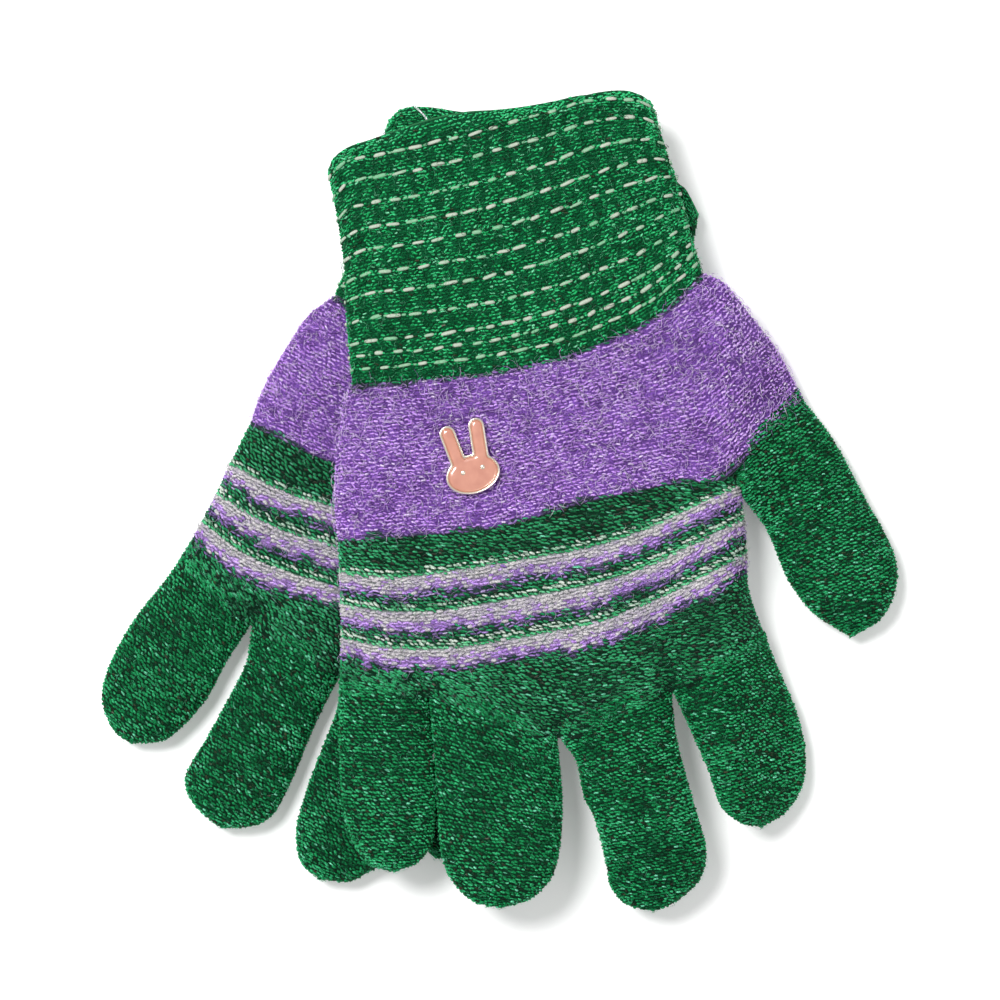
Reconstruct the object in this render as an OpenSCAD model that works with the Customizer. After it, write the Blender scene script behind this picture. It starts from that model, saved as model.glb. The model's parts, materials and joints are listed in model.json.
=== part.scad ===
// Pair of child's knitted gloves, lying flat and crossed, tacked together at the cuffs.
// Each glove has its own frame: the wrist's middle is its origin, the fingers point along -Y,
// the thumb is on the +X side and the glove lies on the plane z = 0.

/* [Knit] */
// Thickness of one empty glove lying flat
glove_t = 10; // [9.5:0.5:11]
// Thickness of the knitted fabric
wall = 1.8; // [1.4:0.1:2]
// Gap between the two gloves
pair_gap = 0.6; // [0.5:0.1:0.8]
// Gap at each fold line
fold_gap = 0.4; // [0.3:0.1:0.6]

/* [Pair] */
// Turn of the lower glove under the upper one
under_turn = 29; // [28:1:30]
// Place of the upper glove's wrist from the middle of the pair
top_wrist_x = 5.9; // [5.5:0.1:6.5]
// Place of the lower glove's wrist from the middle of the pair
under_wrist_x = 0.9; // [0.5:0.1:1.2]
// Distance of both wrists from the middle of the pair
wrist_y = 31.1; // [30:0.1:32]

/* [Cuff] */
// Number of elastic threads round each cuff
elastic_rows = 6; // [4:1:8]
// Width of an elastic thread's band
elastic_w = 1.6; // [1:0.2:2]
// Thickness of an elastic thread's band
elastic_t = 0.5; // [0.3:0.1:0.6]
// Gap between the elastic threads and the cuff round them
elastic_gap = 0.2; // [0.2:0.05:0.3]
// How far the cuff's edge curves out at its middle
cuff_bulge = 2.4; // [1.5:0.1:3]

/* [Badge] */
// Width of the rabbit's head
head_w = 10.4; // [10:0.2:12]
// Height of the rabbit's head
head_h = 7.6; // [7:0.2:9]
// Width of an ear
ear_w = 2.9; // [2.7:0.1:3.6]
// Length of an ear, from the head's middle to its tip's middle
ear_l = 9; // [8:0.5:10]
// Width of the raised metal rim
rim_w = 0.5; // [0.4:0.1:0.7]
// Thickness of the metal plate
plate_t = 0.8; // [0.6:0.1:1]
// Depth of the enamel
enamel_t = 0.4; // [0.3:0.1:0.5]
// Turn of the badge on the glove
badge_turn = 17; // [0:1:30]

/* [Hidden] */

half_t = glove_t / 2;
lift = glove_t + pair_gap;
seam_gap = 0.05;
green = [0.10, 0.42, 0.25];
purple = [0.55, 0.42, 0.75];
stripe = [0.75, 0.72, 0.82];
white = [0.93, 0.93, 0.93];
gold = [0.80, 0.62, 0.45];
enamel = [0.93, 0.64, 0.52];
clear = [0.85, 0.88, 0.90, 0.6];

// Hems and fold lines, as points across the glove from its little finger's side to its thumb's
wrist_line = [[-37.4, -16.2], [41, 9.4]];
knuckle_line = [[-38.2, -39.4], [42.2, -28.5]];
top_hem = [[-39.8, 37], [25, 49.6]];
under_hem = [[-41.8, 30.1], [20.2, 42.7]];
line_points = 8;

// Digits: [middle of the root, heading from straight down, width at the root, largest width, tip]
THUMB = 0;
INDEX = 1;
MIDDLE = 2;
RING = 3;
LITTLE = 4;
top_digits = [
    [[51.2, -23.6], 30, 20.4, 23.6, [64.6, -57.8]],
    [[38.8, -66.8], 14.8, 20.2, 22, [46.4, -96.2]],
    [[16.9, -76.6], 10.7, 21.6, 23, [25, -112.8]],
    [[-7.2, -78.8], 0, 24, 24, [-6, -112.2]],
    [[-29.2, -69.6], 0, 17, 18, [-27.6, -105.6]]
];
under_digits = [
    [[49.3, -25.5], 28, 16.5, 19, [58, -61]],
    [[35.6, -69], 4, 19.4, 20, [38, -97]],
    [[14.2, -76], 8, 20, 20.5, [20, -111.5]],
    [[-7.6, -76], 4, 19.8, 20, [-3, -112]],
    [[-28.2, -74], 0, 18.6, 19.4, [-27.8, -106]]
];

// Shared geometry

function between(a, b, f = 0.5) = a + (b - a) * f;
function unit(v) = v / norm(v);
function along(turn) = [sin(turn), -cos(turn)];
function across(turn) = [cos(turn), sin(turn)];
function smooth(f) = let (c = min(1, max(0, f))) c * c * (3 - 2 * c);
function divided(a, b, n) = [for (i = [0 : n - 1]) between(a, b, i / (n - 1))];

// The upper glove drops to the surface beyond the lower glove's edge and beyond its fingers
drop_from_x = 36.5;
drop_over_x = 17;
function drop(p) = lift * (1 - (1 - smooth((p.x - drop_from_x) / drop_over_x))
    * (1 - 0.6 * smooth((p.x - 8) / 10) * smooth((-p.y - 90) / 22)));
function laid(p, drapes) = [p.x, p.y, p.z + half_t - (drapes ? drop(p) : 0)];

// One ring of a flat sleeve: a line across the glove with a rounded edge at each end
edge_arc = [0, 30, 60, 90];
function upper_half(line, inset) = let (
    r = half_t - inset,
    n = len(line),
    u = unit(line[1] - line[0]),
    v = unit(line[n - 2] - line[n - 1])
) concat(
    [for (a = edge_arc) let (q = line[0] + u * (inset + r * (1 - cos(a)))) [q.x, q.y, r * sin(a)]],
    [for (i = [1 : n - 2]) [line[i].x, line[i].y, r]],
    [for (i = [len(edge_arc) - 1 : -1 : 0]) let (
        a = edge_arc[i],
        q = line[n - 1] + v * (inset + r * (1 - cos(a)))
    ) [q.x, q.y, r * sin(a)]]
);
function sleeve_ring(line, inset, drapes) = let (top = upper_half(line, inset), n = len(top)) concat(
    [for (p = top) laid(p, drapes)],
    [for (i = [n - 2 : -1 : 1]) laid([top[i].x, top[i].y, -top[i].z], drapes)]
);

// A closed surface through rings of points: a torus when it loops, else closed by a cap at each end
module skin(rings, loops) {
    n = len(rings[0]);
    m = len(rings);
    sides = [for (j = [0 : m - (loops ? 1 : 2)], i = [0 : n - 1]) let (
        k = (i + 1) % n,
        a = j * n,
        b = ((j + 1) % m) * n
    ) each [[a + i, b + k, a + k], [a + i, b + i, b + k]]];
    caps = loops ? [] : [[for (i = [0 : n - 1]) i], [for (i = [n - 1 : -1 : 0]) (m - 1) * n + i]];
    polyhedron([for (r = rings) each r], concat(sides, caps), convexity = 6);
}

// A flat sleeve from one line across the glove to the next, inset from the glove's outside
module sleeve(near, far, drapes, inset = 0, thick = wall, steps = 3) {
    outside = [for (i = [0 : steps]) sleeve_ring(between(near, far, i / steps), inset, drapes)];
    inside = [for (i = [steps : -1 : 0])
        sleeve_ring(between(near, far, i / steps), inset + thick, drapes)];
    skin(concat(outside, inside), true);
}

// A digit: a tube on a curved path, closed by a round tip, hollow from its root
digit_sides = 16;
squareness = 0.7;
tip_arc = [0, 25, 50, 70, 84];
function power(v, e) = sign(v) * pow(abs(v), e);
function digit_ring(d, s, w, h, drapes) = let (
    reach = norm(d[4] - d[0]),
    f = s / reach,
    bend = d[0] + along(d[1]) * reach / 2,
    c = between(between(d[0], bend, f), between(bend, d[4], f), f),
    to = between(bend - d[0], d[4] - bend, f),
    side = unit([-to.y, to.x])
) [for (i = [0 : digit_sides - 1]) let (
    a = 360 * i / digit_sides,
    q = c + side * w * power(cos(a), squareness)
) laid([q.x, q.y, h * power(sin(a), squareness)], drapes)];
function digit_rings(d, inset, drapes) = let (
    reach = norm(d[4] - d[0]),
    r = d[3] / 2,
    start = reach - r,
    h = half_t - inset
) concat(
    [for (f = [0 : 0.25 : 0.75])
        digit_ring(d, start * f, between(d[2] / 2, r, min(1, 2 * f)) - inset, h, drapes)],
    [for (a = tip_arc) digit_ring(d, start + (r - inset) * sin(a), (r - inset) * cos(a),
        h * pow(cos(a), 0.6), drapes)]
);
module digit(d, drapes) {
    outside = digit_rings(d, 0, drapes);
    inside = digit_rings(d, wall, drapes);
    skin(concat([for (i = [len(outside) - 1 : -1 : 0]) outside[i]], inside), false);
}

// Lines across a glove

function straight(ends) = divided(ends[0], ends[1], line_points);
function moved_on(line, by, turn) = [for (p = line) p + along(turn) * by];
wrist_turn = atan2(wrist_line[1].y - wrist_line[0].y, wrist_line[1].x - wrist_line[0].x);
function hem(ends) = [for (i = [0 : line_points - 1]) let (f = i / (line_points - 1))
    between(ends[0], ends[1], f) + unit([ends[0].y - ends[1].y, ends[1].x - ends[0].x])
        * cuff_bulge * 4 * f * (1 - f)];
function root_end(d, side) = d[0] + across(d[1]) * side * d[2] / 2 - along(d[1]) * fold_gap;
function hand_end(digits) = concat(
    divided(knuckle_line[0], knuckle_line[1], line_points - 2),
    [between(knuckle_line[1], root_end(digits[THUMB], 1)), root_end(digits[THUMB], 1)]
);
function crotch_line(digits) = [for (k = [LITTLE : -1 : INDEX], side = [-1, 1])
    root_end(digits[k], side)];

// Pieces of a glove

module cuff(ends, drapes) color(green)
    sleeve(hem(ends), moved_on(straight(wrist_line), -fold_gap / 2, wrist_turn), drapes, steps = 4);

module cuff_elastic(ends, drapes) color(white)
    for (i = [1 : elastic_rows]) {
        from = hem(ends);
        to = straight(wrist_line);
        f = i / (elastic_rows + 1);
        half = elastic_w / 2 / norm(to[0] - from[0]);
        sleeve(between(from, to, f - half), between(from, to, f + half), drapes,
            inset = wall + elastic_gap, thick = elastic_t, steps = 1);
    }

module purple_band(digits, drapes) color(purple)
    sleeve(moved_on(straight(wrist_line), fold_gap / 2, wrist_turn), hand_end(digits), drapes,
        steps = 4);

module striped_band(digits, drapes) color(stripe)
    sleeve(moved_on(straight(knuckle_line), seam_gap, 0), crotch_line(digits), drapes, steps = 4);

module green_digit(d, drapes) color(green) digit(d, drapes);

// Badge, face up, standing on z = 0 with the head's middle at the origin

// Ears: [distance from the head's middle, lean to the left]
ears = [[-1.9, 4], [2.3, -8]];
eye_places = [[-1.8, 0.8], [2.2, 0.8]];
eye_r = 0.5;
prong_w = 0.8;
prong_t = 0.4;
prong_foot = 3;
prong_places = [[-2.6, -1], [2.6, -1]];
module ear(e, grow) translate([e[0], 0]) rotate(e[1]) {
    r = ear_w / 2 + grow;
    translate([-r, 0]) square([2 * r, ear_l]);
    translate([0, ear_l]) circle(r, $fn = 32);
}
module rabbit(grow) {
    polygon([for (a = [0 : 7.5 : 352.5]) [(head_w / 2 + grow) * cos(a), (head_h / 2 + grow) * sin(a)]]);
    for (e = ears) ear(e, grow);
}
module badge_plate() color(gold) {
    linear_extrude(plate_t) rabbit(0);
    linear_extrude(plate_t + enamel_t + 0.3) difference() {
        rabbit(0);
        rabbit(-rim_w);
    }
}
module badge_enamel() color(enamel)
    translate([0, 0, plate_t]) linear_extrude(enamel_t) rabbit(-rim_w);
module badge_eyes() color(gold)
    for (p = eye_places) translate([p.x, p.y, plate_t + enamel_t]) cylinder(h = 0.3, r = eye_r, $fn = 24);
module badge_prongs() color(gold)
    for (p = prong_places) translate([p.x - prong_w / 2, p.y, -wall - prong_t]) {
        cube([prong_w, prong_t, wall + prong_t]);
        translate([0, -prong_foot, 0]) cube([prong_w, prong_foot, prong_t]);
    }

// Where the gloves and their badges lie

badge_place = [-11.8, -26];
module top_glove() translate([top_wrist_x, wrist_y, lift]) children();
module under_glove() translate([under_wrist_x, wrist_y, 0]) rotate(-under_turn) children();
badge_t = plate_t + enamel_t + 0.3;
module top_badge() top_glove() translate([badge_place.x, badge_place.y, glove_t])
    rotate(badge_turn) children();
module under_badge() under_glove() translate([badge_place.x, badge_place.y, badge_t])
    mirror([0, 0, 1]) rotate(badge_turn) children();

// Nylon tack: a small loop in each cuff's edge

tack_r = 0.3;
tack_loop_r = 1.7;
// Places along each hem, from its little finger's side
under_tack_at = 0.1;
top_tack_at = 0.17;
module tack_loop() rotate([0, 90, 0]) rotate_extrude($fn = 48)
    translate([tack_loop_r, 0]) circle(tack_r, $fn = 16);
function on_hem(ends, at) = let (line = hem(ends), f = at * (line_points - 1), i = floor(f))
    between(line[i], line[i + 1], f - i);

module top_cuff() top_glove() cuff(top_hem, true);
module top_cuff_elastic() top_glove() cuff_elastic(top_hem, true);
module top_purple_band() top_glove() purple_band(top_digits, true);
module top_striped_band() top_glove() striped_band(top_digits, true);
module top_thumb() top_glove() green_digit(top_digits[THUMB], true);
module top_index() top_glove() green_digit(top_digits[INDEX], true);
module top_middle() top_glove() green_digit(top_digits[MIDDLE], true);
module top_ring() top_glove() green_digit(top_digits[RING], true);
module top_little() top_glove() green_digit(top_digits[LITTLE], true);
module top_badge_plate() top_badge() badge_plate();
module top_badge_enamel() top_badge() badge_enamel();
module top_badge_eyes() top_badge() badge_eyes();
module top_badge_prongs() top_badge() badge_prongs();
module under_cuff() under_glove() cuff(under_hem, false);
module under_cuff_elastic() under_glove() cuff_elastic(under_hem, false);
module under_purple_band() under_glove() purple_band(under_digits, false);
module under_striped_band() under_glove() striped_band(under_digits, false);
module under_thumb() under_glove() green_digit(under_digits[THUMB], false);
module under_index() under_glove() green_digit(under_digits[INDEX], false);
module under_middle() under_glove() green_digit(under_digits[MIDDLE], false);
module under_ring() under_glove() green_digit(under_digits[RING], false);
module under_little() under_glove() green_digit(under_digits[LITTLE], false);
module under_badge_plate() under_badge() badge_plate();
module under_badge_enamel() under_badge() badge_enamel();
module under_badge_eyes() under_badge() badge_eyes();
module under_badge_prongs() under_badge() badge_prongs();
under_tack = on_hem(under_hem, under_tack_at);
top_tack = on_hem(top_hem, top_tack_at);
module tack_filament() color(clear) under_glove()
    translate([under_tack.x, under_tack.y, glove_t - wall]) tack_loop();
module tack_end() color(clear) top_glove()
    translate([top_tack.x, top_tack.y, wall + 0.3]) tack_loop();

top_cuff();
top_cuff_elastic();
top_purple_band();
top_striped_band();
top_thumb();
top_index();
top_middle();
top_ring();
top_little();
top_badge_plate();
top_badge_enamel();
top_badge_eyes();
top_badge_prongs();
under_cuff();
under_cuff_elastic();
under_purple_band();
under_striped_band();
under_thumb();
under_index();
under_middle();
under_ring();
under_little();
under_badge_plate();
under_badge_enamel();
under_badge_eyes();
under_badge_prongs();
tack_filament();
tack_end();
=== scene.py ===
"""A pair of knitted gloves for a child, lying crossed and tacked together at the cuffs.

Every knitted piece is a thick skin of the glove's own shape with its stitches on it as single
strands of yarn, and the loose fibres of the brushed yarn over them. Shapes are worked out in
millimetres in each glove's own frame, as in the CAD: the wrist's middle is the origin, the
fingers point along -Y, the thumb is on the +X side and z = 0 is the glove's underside.
"""

import json
import math

import bpy
import numpy as np
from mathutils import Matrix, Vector, geometry


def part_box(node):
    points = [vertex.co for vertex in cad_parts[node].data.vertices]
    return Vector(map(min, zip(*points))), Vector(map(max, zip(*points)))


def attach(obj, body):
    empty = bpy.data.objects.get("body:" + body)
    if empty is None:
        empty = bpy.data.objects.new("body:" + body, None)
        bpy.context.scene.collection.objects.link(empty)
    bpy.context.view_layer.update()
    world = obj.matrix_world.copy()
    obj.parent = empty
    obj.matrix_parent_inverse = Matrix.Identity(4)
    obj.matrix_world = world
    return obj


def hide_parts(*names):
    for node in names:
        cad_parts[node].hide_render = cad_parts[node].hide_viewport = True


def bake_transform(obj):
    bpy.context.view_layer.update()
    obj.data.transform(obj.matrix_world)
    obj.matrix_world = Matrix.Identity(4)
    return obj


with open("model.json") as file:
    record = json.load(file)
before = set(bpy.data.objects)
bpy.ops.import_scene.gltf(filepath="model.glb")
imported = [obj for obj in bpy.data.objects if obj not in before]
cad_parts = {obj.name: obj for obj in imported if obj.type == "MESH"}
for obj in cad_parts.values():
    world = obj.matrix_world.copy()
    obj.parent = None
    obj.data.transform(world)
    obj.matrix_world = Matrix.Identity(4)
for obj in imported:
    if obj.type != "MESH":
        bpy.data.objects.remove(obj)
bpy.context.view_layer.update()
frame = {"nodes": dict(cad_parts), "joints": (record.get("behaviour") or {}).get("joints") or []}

MM = 0.001

# The gloves

HALF = 4.8                  # half thickness of a glove lying flat
DIGIT_HALF = 4.9            # the same of a digit
EDGE_R = 9.0                # how far in from its edge a glove has its full thickness
UNDERSIDE = 0.93            # how much of its half thickness a glove keeps below, where it lies flat
WALL = 1.6                  # thickness of the knit
SHELL_SINK = 0.2            # how far the shell's face lies below the stitches
LUMP = 0.22                 # how much the knit's face rises and falls
COURSE = 0.72               # distance from one row of stitches to the next
PITCH = 0.86                # distance from one stitch to the next in a digit's rows
CUFF_PITCH = 0.98
PURPLE_PITCH = 1.0
STRIPED_PITCH = 1.04
SKIN_STEP = 1.3             # distance between the points round a glove's skin
HAND_COLS = 48              # points across the hand's outlines
DIGIT_COLS = 24             # points across a digit's
TIP_R = 7.0                 # how far from its tip a digit starts to close
ROOT_L = 2.5                # how far a digit reaches back into the hand
RIB = 3.9                   # distance from one rib of a cuff, and so one dash of elastic, to the next
CAD_T = 10.0                # thickness of a glove in the CAD
TOP_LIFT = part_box("top_cuff")[0].z / MM
TOP_WRIST = (5.9, 31.1)     # where each glove's own origin stands
UNDER_WRIST = (0.9, 31.1)
UNDER_TURN = math.radians(-29)
DROP_FROM_X = 36.5          # where the upper glove starts to hang down, and over what width
DROP_OVER_X = 17.0
FLOOR_GAP = 0.04            # how near the floor a strand may come

# The upper glove's outlines. Its lines run across it from its little finger's side to its thumb's.
# The striped band starts along the first points of the purple band's end, then goes to the thumb's
# crotch by to_thumb. The left and right edges lie between the ends of those lines. A digit has its
# left side, its right side and its tip, and a finger's sides start at the crotches beside it.
TOP = {
    "hem": [(-40.2, 33.8), (-39.4, 36), (-37.3, 37.8), (-30, 40.4), (-20.4, 43.6), (-12.9, 45.2),
            (-5.9, 45.9), (4, 47.4), (11.6, 48.9), (21.8, 49.2), (24.6, 47.4)],
    "first_dashes": [(-39.8, 32.6), (-36.7, 35.4), (-27, 37.5), (-18.9, 39.3), (-10.6, 41.2),
                     (-3.5, 43.4), (3.8, 45.4), (10.9, 47.5), (18, 48), (22.5, 47.4), (25.2, 45.6)],
    "cuff_left": [(-38.4, 25), (-37, 15), (-36.4, 3)],
    "cuff_right": [(27.4, 37.8), (29.2, 32.6), (32, 22)],
    "wrist": [(-35.4, -8.2), (-22, -7.4), (-6.2, -5.6), (9, -2), (24.4, 5), (31, 10.6), (34.4, 14.2)],
    "purple_left": [(-36.6, -11), (-38.4, -20.6), (-39, -31.2)],
    "purple_right": [(38.8, 12.2), (44.2, 6.2), (50, -0.4)],
    "purple_end": [(-38.2, -39.4), (-22, -38.2), (-7.4, -36.8), (10.8, -31.8), (27.2, -28.2),
                   (38.6, -26.6), (46, -19.4), (55.6, -10.6)],
    "to_thumb": [(36, -26.4), (41.8, -25.4)],
    "first_stripe": [(-38, -45.6), (-25.8, -46.6), (-5.9, -43.8), (14, -40.2), (23.9, -36.7),
                     (33.9, -31.7), (42.2, -28.2)],
    "last_stripe": [(-37.4, -62.8), (-25.8, -65), (-15.8, -65.4), (-5.9, -64), (14, -60),
                    (23.9, -56.2), (33.9, -51.2), (43.8, -46.2)],
    "crotches": [(-37.9, -69.5), (-20.2, -70.2), (5.6, -77.8), (28.2, -68.6), (48.3, -60)],
    "palm_left": [(-37.8, -48.8), (-37.6, -58)],
    "palm_right": [(42.6, -31), (43.5, -39), (44, -48.8), (45.9, -54.4)],
    "little": ([(-38, -80), (-37.2, -92), (-35, -99.5), (-31, -104)],
               [(-19.1, -82), (-18.6, -93), (-19.4, -99.2), (-22, -103.2)],
               (-26.8, -105)),
    "ring": ([(-19.1, -82), (-18.6, -92), (-17.2, -103.4), (-15, -107.6), (-11.2, -111)],
             [(6.6, -89.6), (6.4, -97.8), (4.6, -106), (0, -110.6)],
             (-6, -112.2)),
    "middle": ([(9.2, -83.2), (10.6, -90), (12.8, -94.6), (15.2, -103.8), (16.2, -108.7), (19.6, -112.6)],
               [(29.4, -78.6), (32.7, -91), (35.5, -101.8), (34.3, -107.4), (29.4, -112)],
               (25, -113.7)),
    "index": ([(31.2, -75.4), (35.4, -85), (38.2, -92.4), (42.8, -96)],
              [(49.6, -63), (54.3, -74), (56, -81.4), (55.5, -88.8), (51.8, -94.6)],
              (46.8, -97)),
    "thumb": ([(40, -25), (41.9, -29.8), (47.4, -36.6), (52.6, -47.8), (57.8, -54.4)],
              [(55.6, -10.6), (61.2, -18), (68.9, -32), (73.9, -41.6), (74.6, -48), (71.4, -55.2)],
              (65, -58.8)),
}

# Outlines of the lower glove, which is much like the upper one and lies a little fuller at its cuff
UNDER = {
    "hem": [(-42.8, 28.6), (-41.2, 32), (-38.9, 33.4), (-32, 36.2), (-20, 40), (-6, 43), (8, 44.8),
            (15.6, 45.4), (21.5, 42.6)],
    "first_dashes": [(-42.4, 27), (-41, 30.2), (-38.7, 31.7), (-32, 34.6), (-20, 38.4), (-6, 41.4),
                     (8, 43.2), (15.6, 43.8), (21.9, 41.2)],
    "cuff_left": [(-40.6, 18), (-37.2, 6)],
    "cuff_right": [(24.8, 33.2), (30, 22)],
    "wrist": [(-35.2, -7.6), (-22, -7.4), (-6.2, -5.6), (9, -2), (24.4, 5), (34.6, 13)],
    "purple_left": [(-37.9, -13.6), (-38.6, -20.6), (-38.8, -31.2)],
    "purple_right": [(41, 7), (47, -1)],
    "purple_end": [(-37.6, -38.8), (-22, -38), (-7.4, -36), (10.8, -31.8), (27.2, -28.2),
                   (36, -25), (44, -18), (52, -12)],
    "to_thumb": [(35, -25.8), (43.8, -20.4)],
    "first_stripe": [(-37.2, -48), (-25, -47.4), (-14.5, -45.2), (4, -42), (14, -39.8), (24, -36.4),
                     (34, -31.6), (41.3, -28.6)],
    "last_stripe": [(-36.6, -65.3), (-22.2, -67), (-4.6, -63.4), (14, -60), (23.8, -56.4),
                    (33.9, -51.4), (43.2, -46.6)],
    "crotches": [(-36.8, -70.6), (-17.5, -74), (3.3, -74.3), (26, -69), (45.5, -61)],
    "palm_left": [(-37.2, -48), (-36.6, -57), (-36.6, -65.3)],
    "palm_right": [(43.4, -26), (43, -32), (43, -39), (43.4, -48.8), (44.2, -55)],
    "little": ([(-37.2, -74), (-39, -86.3), (-38.5, -97.3), (-36.3, -102.7), (-30.7, -106.7)],
               [(-18.1, -83.3), (-18, -91.4), (-19.7, -99.4), (-21.6, -103.4)],
               (-27, -107)),
    "ring": ([(-14.9, -81), (-14.5, -88), (-14.4, -97.8), (-14.4, -107.6), (-11.7, -110.9), (-6, -112.8)],
             [(3.5, -81.6), (4.1, -89.1), (5.1, -97.9), (5, -106.2), (2.5, -109.9)],
             (-2.5, -113)),
    "middle": ([(5.8, -80.7), (7, -88.9), (8.5, -98.8), (10.7, -106.6), (14.9, -111.6)],
               [(27.5, -80), (29.5, -92), (30, -102), (27.4, -107), (25.2, -110.1)],
               (19.5, -112.6)),
    "index": ([(28, -80), (30, -90), (34, -96)],
              [(48, -72), (49, -84), (46, -93)],
              (38, -97.5)),
    "thumb": ([(39.6, -25), (41, -30), (45, -40), (49, -52), (53, -58.6)],
              [(52, -12), (56, -20), (62, -32), (64, -44), (63, -53)],
              (58, -61.5)),
}
SHARED = 5                  # how many points of the purple band's end the striped band starts along
DIGITS = ("thumb", "index", "middle", "ring", "little")
FINGERS = ("little", "ring", "middle", "index")     # as the crotches run

# Yarns: the ground between their stitches, the colours that the stitches are picked from, and glints


def rgb(r, g, b):
    """A colour given as sRGB from 0 to 255, as linear light."""
    c = np.array([r, g, b], float) / 255
    return np.where(c <= 0.04045, c / 12.92, ((c + 0.055) / 1.055) ** 2.4)


def spun(ground, dark, mid, light, glint, thick):
    """A yarn: its sRGB colours and how thick its strands are."""
    return {"ground": rgb(*ground), "dark": rgb(*dark), "mid": rgb(*mid), "light": rgb(*light),
            "glint": rgb(*glint), "thick": thick}


YARNS = {
    "green": spun((6, 38, 23), (5, 60, 35), (21, 118, 68), (50, 154, 102), (116, 204, 170), 0.5),
    "cuff": spun((3, 54, 30), (4, 72, 40), (26, 140, 80), (52, 166, 108), (120, 196, 158), 0.48),
    "purple": spun((92, 60, 128), (98, 62, 134), (184, 134, 220), (208, 170, 236),
                   (226, 218, 230), 0.46),
    "lavender": spun((128, 98, 152), (134, 98, 170), (176, 134, 212), (194, 162, 220),
                     (208, 200, 214), 0.62),
    "plum": spun((36, 48, 50), (56, 56, 78), (116, 86, 150), (162, 130, 198), (190, 184, 204), 0.48),
    "white": spun((160, 154, 164), (156, 146, 166), (176, 171, 177), (184, 180, 182),
                  (200, 196, 196), 0.9),
    "dash": spun((14, 44, 30), (60, 142, 96), (174, 192, 178), (196, 204, 194), (210, 214, 206), 0.62),
    "spring": spun((14, 66, 40), (18, 110, 62), (64, 168, 110), (106, 192, 142), (164, 212, 180), 0.6),
    "brown": spun((28, 26, 24), (20, 24, 22), (38, 36, 30), (56, 48, 38), (92, 90, 80), 0.4),
}

# How often a stitch of one yarn shows the other instead
MARL = {"lavender": ("white", 0.34), "white": ("lavender", 0.05), "plum": ("green", 0.4),
        "dash": ("green", 0.2), "green": ("brown", 0.08), "cuff": ("brown", 0.03)}

# The striped band's yarns, and where each one ends: 0 at the first white stripe's upper edge and 1
# at the last lavender stripe's lower one
STRIPES = (
    ("green", -0.085), ("dash", -0.04), ("spring", 0),
    ("white", 0.075), ("lavender", 0.155), ("plum", 0.235), ("green", 0.275), ("dash", 0.325),
    ("spring", 0.37),
    ("white", 0.455), ("lavender", 0.545), ("plum", 0.625), ("green", 0.66), ("dash", 0.705),
    ("spring", 0.745),
    ("white", 0.845), ("lavender", 0.935), ("plum", 1),
    ("green", 9),
)
STRIPE_YARNS = np.array([name for name, _ in STRIPES], dtype=object)
STRIPE_ENDS = np.array([end for _, end in STRIPES])

# Where the elastic threads lie, as shares of the way from the first one to the wrist
ELASTIC_AT = (0, 0.094, 0.204, 0.312, 0.407, 0.511, 0.602, 0.71, 0.81, 0.869, 0.932)


# Curves and fields


def even(points, n):
    """n points evenly spaced along a polyline."""
    steps = np.linalg.norm(np.diff(points, axis=0), axis=1)
    at = np.concatenate([[0], np.cumsum(steps)])
    to = np.linspace(0, at[-1], n)
    return np.column_stack([np.interp(to, at, column) for column in points.T])


def smooth_line(points):
    """A dense smooth curve through a few points."""
    p = np.array(points, float)
    h = np.sqrt(np.linalg.norm(np.diff(p, axis=0), axis=1))[:, None]
    slope = np.diff(p, axis=0) / h
    inner = (slope[:-1] * h[1:] + slope[1:] * h[:-1]) / (h[:-1] + h[1:])
    m = np.vstack([slope[:1], inner, slope[-1:]])
    t = np.linspace(0, 1, 16, endpoint=False)[:, None]
    parts = []
    for a, b, ma, mb, step in zip(p[:-1], p[1:], m[:-1], m[1:], h):
        parts.append(a * (1 + 2 * t) * (1 - t) ** 2 + b * t * t * (3 - 2 * t)
                     + step * (ma * t * (1 - t) ** 2 + mb * t * t * (t - 1)))
    return np.vstack(parts + [p[-1:]])


def curve(points, n):
    """n points evenly spaced along a smooth curve."""
    return even(smooth_line(points), n)


def ease(f):
    """A smooth step from 0 to 1."""
    f = np.clip(f, 0, 1)
    return f * f * (3 - 2 * f)


def field(seed, scale):
    """A smooth random field over the plane, from about -1 to 1, with lumps of the given size."""
    size = 64
    lattice = np.random.default_rng(seed).uniform(-1, 1, (size, size))

    def at(x, y):
        x = np.asarray(x) / scale
        y = np.asarray(y) / scale
        i = np.floor(x).astype(int)
        j = np.floor(y).astype(int)
        fx = ease(x - i)
        fy = ease(y - j)
        low = lattice[i % size, j % size] * (1 - fx) + lattice[(i + 1) % size, j % size] * fx
        high = (lattice[i % size, (j + 1) % size] * (1 - fx)
                + lattice[(i + 1) % size, (j + 1) % size] * fx)
        return low * (1 - fy) + high * fy

    return at


# Fields, from the broad lumps of the lying knit down to the specks of single stitches
LUMPS = field(3, 9.0)
PATCHES = field(5, 6.0)
SPECKS = field(6, 1.7)
WAVES = field(7, 5.0)


# Shapes of the gloves


def drop(x, y):
    """How far the upper glove hangs down: beyond the lower one's edge, and past its fingers' tips."""
    beyond = 1 - ease((x - DROP_FROM_X) / DROP_OVER_X)
    fingers = 1 - 0.6 * ease((x - 8) / 10) * ease((-y - 90) / 22)
    return TOP_LIFT * (1 - beyond * fingers)


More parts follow.
